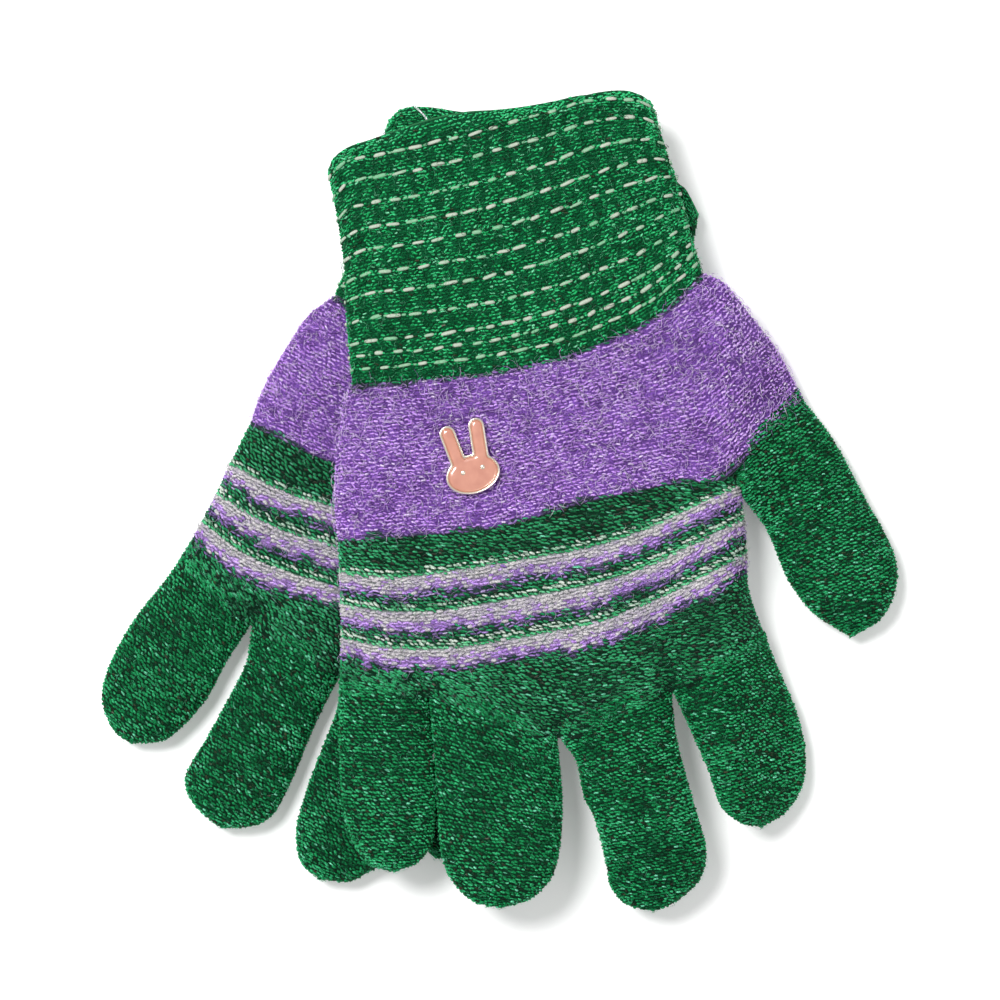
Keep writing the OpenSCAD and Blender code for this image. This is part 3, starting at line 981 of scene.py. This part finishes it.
def make_cuff(side, lines, place, drapes, seed):
    """The cuff's knit, its skin, and where the elastic threads lie on that as shares of its rows."""
    grid, at = flat_grid([lines["hem"], lines["first_dashes"], lines["wrist"]], lines["cuff_left"],
                         lines["cuff_right"])
    skin = Skin(grid, HALF, cuff_shape(lines), drapes)
    threads = at[1] + (1 - at[1]) * np.array(ELASTIC_AT)
    piece = knit(side + "_cuff_knit", skin, GREEN, place, seed, one_yarn("cuff"), CUFF_PITCH,
                 pits=cuff_pits(lines))
    return piece, skin, threads


def make_purple(side, lines, place, drapes, seed):
    """The purple band, dented where the lower glove lies on its own badge."""
    grid, _ = flat_grid([lines["wrist"], lines["purple_end"]], lines["purple_left"],
                        lines["purple_right"])
    skin = Skin(grid, HALF, plain_shape, drapes, dent=None if drapes else badge_dent)
    return knit(side + "_purple_knit", skin, PURPLE, place, seed, purple_band(len(grid)), PURPLE_PITCH)


def make_striped(side, lines, place, drapes, seed):
    """The striped band, as far as the fingers' roots."""
    knuckles = lines["purple_end"][:SHARED] + lines["to_thumb"]
    grid, at = flat_grid([knuckles, lines["first_stripe"], lines["last_stripe"], lines["crotches"]],
                         lines["palm_left"], lines["palm_right"])
    depth = valleys(lines["crotches"])
    skin = Skin(grid, HALF, palm_shape(depth), drapes)
    return knit(side + "_striped_knit", skin, STRIPED, place, seed, striped(len(grid), at[1], at[2]),
                STRIPED_PITCH, pits=palm_valley_shade(depth))


def make_digit(side, digit, lines, place, drapes, seed):
    """A thumb or a finger, closed at its tip."""
    grid, cap = digit_grid(lines, digit)
    skin = Skin(grid, DIGIT_HALF, plain_shape, drapes, cap)
    return knit(f"{side}_{digit}_knit", skin, GREEN, place, seed, one_yarn("green"), PITCH, tip=True)


def make_glove(side, lines, place, drapes, seed):
    """A glove's knitted pieces, its cuff's skin, and where the elastic threads lie on that."""
    pieces = {}
    pieces["cuff"], skin, threads = make_cuff(side, lines, place, drapes, seed)
    pieces["purple"] = make_purple(side, lines, place, drapes, seed + 1)
    pieces["striped"] = make_striped(side, lines, place, drapes, seed + 2)
    for k, digit in enumerate(DIGITS):
        pieces[digit] = make_digit(side, digit, lines, place, drapes, seed + 3 + k)
    return pieces, skin, threads


# Elastic threads


def add_bead(mesh, centre, t, b, n, length, width, height, colours, room):
    """Smooth elongated beads: stretches of thread that show on the face of the knit."""
    rings, sides = 7, 6
    at = np.cos(np.linspace(math.pi, 0, rings))
    round_at = np.radians(np.arange(sides) * 360 / sides)
    along = np.repeat(at, sides)
    size = np.repeat(np.sqrt(np.maximum(1 - np.abs(at) ** 6, 0.06)), sides)
    out = np.tile(np.cos(round_at), rings) * size
    up = np.tile(np.sin(round_at), rings) * size
    points = (centre[:, None] + t[:, None] * (along * length[:, None] / 2)[:, :, None]
              + b[:, None] * (out * width[:, None] / 2)[:, :, None]
              + n[:, None] * (up * height[:, None] / 2 - 0.35 * along ** 4 * height[:, None])[:, :, None])
    faces, corners = [], []
    for r in range(rings - 1):
        for k in range(sides):
            a, c = r * sides + k, r * sides + (k + 1) % sides
            low, high = r / (rings - 1), (r + 1) / (rings - 1)
            faces += [[a, c + sides, c], [a, a + sides, c + sides]]
            corners += [[[low, k / sides], [high, (k + 1) / sides], [low, (k + 1) / sides]],
                        [[low, k / sides], [high, k / sides], [high, (k + 1) / sides]]]
    last = (rings - 1) * sides
    for k in range(1, sides - 1):
        faces += [[0, k, k + 1], [last, last + k + 1, last + k]]
        corners += [[[0, 0.5], [0, 0.6], [0, 0.7]], [[1, 0.5], [1, 0.6], [1, 0.7]]]
    count = len(centre)
    faces = np.array(faces)[None] + rings * sides * np.arange(count)[:, None, None]
    mesh.add(points.reshape(-1, 3), faces.reshape(-1, 3), np.repeat(colours, rings * sides, 0),
             room.take(count, np.array(corners, float)).reshape(-1, 2))


# What shows of the elastic, each with its length, width and lift: a dash, and the dot where it dips
DASH = (2.5, 0.76, 0.1)
DOT = (0.9, 0.5, 0.04)
ELASTIC_WHITE = rgb(182, 185, 173)
YARN_END = (2.2, 0.5, 0.06)         # length, rise and radius of a dark yarn end
YARN_END_COLOUR = rgb(14, 26, 24)


def elastic_threads(name, skin, place, seed, shares):
    """White elastic that shows as dashes in rows round the cuff, and some dots between them.

    The dark ends of the ground yarn that stick out beside some dashes are part of it.
    """
    rng = np.random.default_rng(seed)
    rows, cols = skin.points.shape[:2]
    dashes, dots, ends = [], [], []
    for share in shares:
        row = share * (rows - 1)
        around = skin.row_length(int(round(row)))
        count = int(round(around / RIB))
        k = (np.arange(count) + rng.uniform(0, 1) + rng.uniform(-0.1, 0.1, count)) / count
        rise = rng.normal(0, 0.12, count)
        dashes.append(np.column_stack([row + rise, k * cols]))
        seen = rng.random(count) < 0.35
        dots.append(np.column_stack([row + rise, (k + 0.52 / count) * cols])[seen])
        near = rng.random(count) < 0.5
        ends.append(np.column_stack([row + rise, (k + 0.3 / count) * cols])[near])
    dashes, dots, ends = (np.vstack(x) for x in (dashes, dots, ends))
    room = Room(len(dashes) + len(dots) + 2 * len(ends))
    mesh = Mesh()
    for spots, (long, wide, lift) in ((dashes, DASH), (dots, DOT)):
        count = len(spots)
        p, n, t, b = skin.at(spots[:, 0], spots[:, 1])
        slant = rng.normal(0.05, 0.07, count)
        tt = t * np.cos(slant)[:, None] + b * np.sin(slant)[:, None]
        worn = rng.uniform(0, 1, count) ** 2
        green = np.where(spots is dots, 0.7, 0.08 + 0.6 * worn)[:, None]
        colours = ELASTIC_WHITE * (1 - green) + YARNS["cuff"]["light"] * green
        up = lift - 0.14 * worn
        length = long * rng.uniform(0.7, 1.25, count)
        width = wide * rng.uniform(0.8, 1.15, count)
        add_bead(mesh, p + n * up[:, None], tt, np.cross(n, tt), n, length, width, width * 0.6,
                 colours, room)
    both = np.vstack([ends, ends + [0.3, 0.5]])
    sizes = np.tile(YARN_END, (len(both), 1))
    colours = np.tile(YARN_END_COLOUR, (len(both), 1))
    add_fibres(mesh, rng, skin, both[:, 0], both[:, 1], sizes, colours, room)
    return mesh.build(name, ELASTIC, place)


# The badge: a rabbit's head of gold-coloured metal filled with enamel

HEAD = (5.45, 3.9)                  # half its width and half its height
EARS = ((-1.9, 4), (2.1, -8))       # where each stands on the head and how far it leans left
EAR_R = 1.62
EAR_L = 9.0
RIM_W = 0.6
PLATE_T = 0.8                       # thickness inside the rim
ENAMEL_T = 0.4
BADGE_T = 1.5                       # thickness at the rim
BADGE_AT = (-11.2, -26)             # its middle, in the glove's own frame
BADGE_TURN = math.radians(17)
EYES = ((-1.8, 0.8), (2.2, 0.8))


def badge_depth(p):
    """How far inside the badge's outline points are, negative outside."""
    x, y = p[:, 0], p[:, 1]
    a, b = HEAD
    k = np.hypot(x / a, y / b) + 1e-9
    distance = (k - 1) * k / np.maximum(np.hypot(x / a ** 2, y / b ** 2), 1e-9)
    for foot, lean in EARS:
        lean = math.radians(lean)
        u = (x - foot) * math.cos(lean) + y * math.sin(lean)
        v = -(x - foot) * math.sin(lean) + y * math.cos(lean)
        ear = np.hypot(u, v - np.clip(v, 0, EAR_L)) - EAR_R
        h = np.clip(0.5 + 0.5 * (ear - distance) / 0.4, 0, 1)
        distance = ear * (1 - h) + distance * h - 0.4 * h * (1 - h)
    return -distance


def to_depth(p, depth):
    """Points moved straight in or out until they are at a depth inside the badge's outline."""
    step = 1e-3
    for _ in range(6):
        d = badge_depth(p)
        slope = np.column_stack([badge_depth(p + [step, 0]) - d, badge_depth(p + [0, step]) - d]) / step
        size = np.maximum((slope ** 2).sum(1), 0.05)
        p = p + slope * ((depth - d) / size)[:, None]
    return p


def badge_outline():
    """Points all round the badge, found by walking along its edge."""
    spot = to_depth(np.array([[HEAD[0], -0.5]]), 0)
    walked = [spot[0]]
    step = 0.1
    while len(walked) < 900:
        d = badge_depth(spot)
        slope = np.array([badge_depth(spot + [1e-3, 0]) - d, badge_depth(spot + [0, 1e-3]) - d])[:, 0]
        way = np.array([slope[1], -slope[0]])
        spot = to_depth(spot + way / np.linalg.norm(way) * step, 0)
        walked.append(spot[0])
        if len(walked) > 50 and np.linalg.norm(spot[0] - walked[0]) < step:
            break
    return even(np.array(walked + walked[:1]), 281)[:-1]


OUTLINE = badge_outline()


def build_solid(name, points, faces, material, mirrored=False):
    """A smooth closed piece, with its faces turned over where its points have been mirrored."""
    if mirrored:
        faces = [face[::-1] for face in faces]
    mesh = bpy.data.meshes.new(name)
    mesh.from_pydata([tuple(p) for p in points * MM], [], faces)
    mesh.shade_smooth()
    mesh.materials.append(material)
    piece = bpy.data.objects.new(name, mesh)
    bpy.context.scene.collection.objects.link(piece)
    return piece


def ring_faces(rings, count, first=0):
    """Faces between rings of points, counted from the first one's number, and over both ends."""
    faces = []
    for r in range(rings - 1):
        for k in range(count):
            a = first + r * count + k
            b = first + r * count + (k + 1) % count
            faces.append([a, b, b + count, a + count])
    last = first + (rings - 1) * count
    faces.append(list(range(first, first + count))[::-1])
    faces.append(list(range(last, last + count)))
    return faces


def badge_plate(name, place, mirrored):
    """The metal plate with its raised, rounded rim."""
    top = BADGE_T
    profile = [(0.3, 0), (0.06, 0), (0, 0.08), (0, top - 0.42), (0.03, top - 0.2), (0.1, top - 0.06),
               (0.2, top), (0.32, top - 0.02), (0.42, top - 0.12), (RIM_W, top - 0.32),
               (RIM_W + 0.02, PLATE_T), (RIM_W + 0.2, PLATE_T)]
    rings = [np.column_stack([to_depth(OUTLINE, depth), np.full(len(OUTLINE), z)])
             for depth, z in profile]
    faces = ring_faces(len(rings), len(OUTLINE))
    return build_solid(name, place(np.vstack(rings)), faces, METAL, mirrored)


def badge_enamel(name, place, mirrored):
    """The enamel that fills the plate, a little proud in the middle, as it sets."""
    edge = to_depth(OUTLINE, RIM_W + 0.03)
    count = len(edge)
    low, high = edge.min(0), edge.max(0)
    grid = np.stack(np.meshgrid(np.arange(low[0], high[0], 0.3), np.arange(low[1], high[1], 0.3)),
                    -1).reshape(-1, 2)
    inner = grid[badge_depth(grid) > RIM_W + 0.18]
    ring = [tuple(p) for p in edge]
    verts, _, tris, _, _, _ = geometry.delaunay_2d_cdt(
        [Vector(p) for p in ring + [tuple(p) for p in inner]],
        [(k, (k + 1) % count) for k in range(count)], [], 1, 1e-5)
    flat = np.array([[v.x, v.y] for v in verts])
    rise = 1 - np.exp(-np.maximum(badge_depth(flat) - RIM_W, 0) / 0.25)
    z = PLATE_T + ENAMEL_T * (0.55 + 0.55 * rise)
    points = np.column_stack([flat, z])
    faces = []
    for tri in tris:
        a, b, c = (flat[k] for k in tri)
        turns_left = (b[0] - a[0]) * (c[1] - a[1]) - (b[1] - a[1]) * (c[0] - a[0]) > 0
        faces.append(list(tri) if turns_left else list(tri)[::-1])
    base = len(points)
    foot = np.column_stack([flat[:count], np.full(count, PLATE_T + 0.01)])
    points = np.vstack([points, foot])
    for k in range(count):
        m = (k + 1) % count
        faces.append([base + k, base + m, m, k])
    faces.append([base + k for k in range(count)][::-1])
    return build_solid(name, place(points), faces, ENAMEL, mirrored)


def badge_eyes(name, place, mirrored):
    """Two small domes of bare metal."""
    rings = [(0.5, 0), (0.5, 0.12), (0.44, 0.22), (0.3, 0.3), (0.12, 0.335)]
    sides = 24
    turn = np.radians(np.arange(sides) * 360 / sides)
    points, faces = [], []
    for x, y in EYES:
        base = len(points) * sides
        for r, z in rings:
            points.append(np.column_stack([x + r * np.cos(turn), y + r * np.sin(turn),
                                           np.full(sides, PLATE_T + ENAMEL_T + z - 0.06)]))
        faces += ring_faces(len(rings), sides, base)
    return build_solid(name, place(np.vstack(points)), faces, METAL, mirrored)


def badge_place(glove_place, z, side):
    """Where the badge's own points go: on the glove's upper face, or mirrored under its lower one."""
    def place(p):
        c, s = math.cos(BADGE_TURN), math.sin(BADGE_TURN)
        x = c * p[:, 0] - s * p[:, 1] + BADGE_AT[0]
        y = s * p[:, 0] + c * p[:, 1] + BADGE_AT[1]
        return glove_place(np.column_stack([x, y, z + side * p[:, 2]]))
    return place


# The nylon tack, in the shared frame: from the lower cuff's hem to a hook round the loop in the
# upper cuff

TACK_R = 0.2
TACK_PATH = ((-17, 77.4, 6.6), (-17.6, 79.5, 7.6), (-16.9, 78.9, 9.5), (-14.5, 75.9, 10.2),
             (-15.4, 74.2, 10.5), (-20, 72.6, 10.6), (-22.6, 71.6, 10.6), (-23.6, 71.5, 10.9),
             (-23.3, 71.5, 11.5), (-22.6, 71.6, 11.3))


def tack_line(name):
    """A round filament along the tack's path."""
    line = curve(TACK_PATH, 120)
    ways = np.gradient(line, axis=0)
    ways /= np.linalg.norm(ways, axis=1, keepdims=True)
    sides = 12
    turn = np.radians(np.arange(sides) * 360 / sides)
    side = np.array([0, 0, 1])
    rings = []
    for spot, way in zip(line, ways):
        side = side - way * (side @ way)
        side /= np.linalg.norm(side)
        other = np.cross(way, side)
        rings.append(spot + TACK_R * (np.outer(np.cos(turn), side) + np.outer(np.sin(turn), other)))
    return build_solid(name, np.vstack(rings), ring_faces(len(rings), sides), NYLON)


def metal_material():
    """Gold-coloured plating, a little uneven in its polish."""
    material, nodes, links, shader = new_material("badge_metal")
    shader.inputs["Metallic"].default_value = 1
    shader.inputs["Base Color"].default_value = (*rgb(250, 240, 224), 1)
    grain = noise(nodes, links, 900, 3)
    polish = nodes.new("ShaderNodeMapRange")
    polish.inputs["To Min"].default_value = 0.14
    polish.inputs["To Max"].default_value = 0.34
    links.new(grain.outputs["Fac"], polish.inputs["Value"])
    links.new(polish.outputs["Result"], shader.inputs["Roughness"])
    bump(nodes, links, shader, grain, 0.12, 0.00006)
    return material


def enamel_material():
    """Salmon pink enamel: glossy, faintly mottled, with an uneven surface."""
    material, nodes, links, shader = new_material("badge_enamel")
    shader.inputs["Roughness"].default_value = 0.16
    shader.inputs["Coat Weight"].default_value = 0.6
    shader.inputs["Coat Roughness"].default_value = 0.05
    mottle = noise(nodes, links, 420, 3)
    tint = ramp(nodes, links, mottle, (0.3, rgb(184, 127, 110)), (0.7, rgb(197, 140, 121)))
    links.new(tint.outputs["Color"], shader.inputs["Base Color"])
    bump(nodes, links, shader, noise(nodes, links, 260, 1), 0.35, 0.0004)
    return material


def nylon_material():
    """Clear nylon filament."""
    material, nodes, links, shader = new_material("tack_nylon")
    shader.inputs["Transmission Weight"].default_value = 0.7
    shader.inputs["Roughness"].default_value = 0.2
    shader.inputs["IOR"].default_value = 1.53
    cloud = noise(nodes, links, 1500, 2)
    tint = ramp(nodes, links, cloud, (0.3, rgb(222, 230, 232)), (0.7, rgb(246, 248, 250)))
    links.new(tint.outputs["Color"], shader.inputs["Base Color"])
    bump(nodes, links, shader, cloud, 0.1, 0.00005)
    return material


METAL = metal_material()
ENAMEL = enamel_material()
NYLON = nylon_material()
ELASTIC = yarn_material("elastic_thread", 0.55, 0.05, rgb(255, 250, 245), 0.8, 1.12)


# What each piece stands for, and what it rides on


def make_badge(side, place):
    """A badge's pieces. Its prongs are CAD pieces and take its metal."""
    for part, make in (("plate", badge_plate), ("enamel", badge_enamel), ("eyes", badge_eyes)):
        piece = make(f"{side}_badge_{part}_finish", place, side == "under")
        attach(piece, side + "_hand")
        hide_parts(f"{side}_badge_{part}")
    finish(side + "_badge_prongs", METAL)


def finish(node, material):
    """Gives a CAD node that stays in view its material."""
    mesh = frame["nodes"][node].data
    mesh.materials.clear()
    mesh.materials.append(material)


def across_joint(piece, joint, back, on):
    """Bakes the piece's place into its points; it does not bend the piece over the joint, and back and on
    are not used.
    """
    j = JOINTS[joint]
    way = Vector(j["axis"]).cross(Vector((0, 0, 1)))
    way.normalize()
    if way.y > 0:
        way.negate()
    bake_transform(piece)


def make_tack():
    """The filament between the two cuffs, in the shared frame. Its end is a CAD piece and takes the
    nylon.
    """
    tack = tack_line("tack_filament_line")
    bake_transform(tack)
    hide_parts("tack_filament")
    finish("tack_end", NYLON)


def stand_for_cad(side, glove):
    """Hides the CAD node that each knitted piece of a glove stands for."""
    nodes = {"elastic": "cuff_elastic", "purple": "purple_band", "striped": "striped_band"}
    for name, piece in glove.items():
        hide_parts(f"{side}_{nodes.get(name, name)}")


JOINTS = {j["name"]: j for j in frame["joints"]}
WRIST_BEND = (6, 5)         # how far behind a joint's line, and past it, for across_joint, which does not use them
DIGIT_BEND = (1, 9)

top, top_cuff, top_threads = make_glove("top", TOP, top_place, True, 100)
under, under_cuff, under_threads = make_glove("under", UNDER, under_place, False, 200)
top["elastic"] = elastic_threads("top_elastic", top_cuff, top_place, 301, top_threads)
under["elastic"] = elastic_threads("under_elastic", under_cuff, under_place, 302, under_threads[2:])
make_badge("top", badge_place(top_place, CAD_T, 1))
make_badge("under", badge_place(under_place, BADGE_T, -1))
make_tack()
for name in ("cuff", "elastic", "purple"):
    across_joint(top[name], "top_wrist_fold", *WRIST_BEND)
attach(top["striped"], "top_hand")
for digit in DIGITS:
    across_joint(top[digit], f"top_{digit}_fold", *DIGIT_BEND)
for name in ("cuff", "elastic", "purple", "striped", "thumb", "index", "middle"):
    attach(under[name], "under_hand")
for digit in ("ring", "little"):
    across_joint(under[digit], f"under_{digit}_fold", *DIGIT_BEND)
stand_for_cad("top", top)
stand_for_cad("under", under)


# The room

CAMERA_HIGH = 0.5676        # metres above the floor


def make_room():
    """A pale floor, a white sky and two soft lamps."""
    bpy.ops.mesh.primitive_plane_add(size=12)
    floor = bpy.context.object
    floor.name = "floor"
    material = bpy.data.materials.new("floor")
    material.use_nodes = True
    shader = material.node_tree.nodes["Principled BSDF"]
    shader.inputs["Base Color"].default_value = (0.95, 0.95, 0.95, 1)
    shader.inputs["Emission Color"].default_value = (1, 1, 1, 1)
    shader.inputs["Emission Strength"].default_value = 0.18
    shader.inputs["Roughness"].default_value = 0.9
    floor.data.materials.append(material)
    world = bpy.data.worlds.new("studio")
    world.use_nodes = True
    world.node_tree.nodes["Background"].inputs["Color"].default_value = (1, 1, 1, 1)
    world.node_tree.nodes["Background"].inputs["Strength"].default_value = 0.47
    bpy.context.scene.world = world
    light("key", (-0.25, 0.22, 0.65), 0.26, 5.6)
    light("fill", (0.45, -0.2, 0.7), 0.6, 1.0)


def light(name, place, size, power):
    """A round lamp at a place in metres, aimed at the gloves."""
    data = bpy.data.lights.new(name, "AREA")
    data.shape = "DISK"
    data.size = size
    data.energy = power
    lamp = bpy.data.objects.new(name, data)
    lamp.location = place
    lamp.rotation_euler = (-Vector(place)).to_track_quat("-Z", "Y").to_euler()
    bpy.context.scene.collection.objects.link(lamp)


def make_camera():
    """The camera looks straight down from above the gloves."""
    data = bpy.data.cameras.new("camera")
    data.lens = 100
    data.sensor_width = 36
    camera = bpy.data.objects.new("camera", data)
    camera.location = (0, 0, CAMERA_HIGH)
    bpy.context.scene.collection.objects.link(camera)
    bpy.context.scene.camera = camera


make_room()
make_camera()
bpy.context.scene.view_settings.view_transform = "Standard"
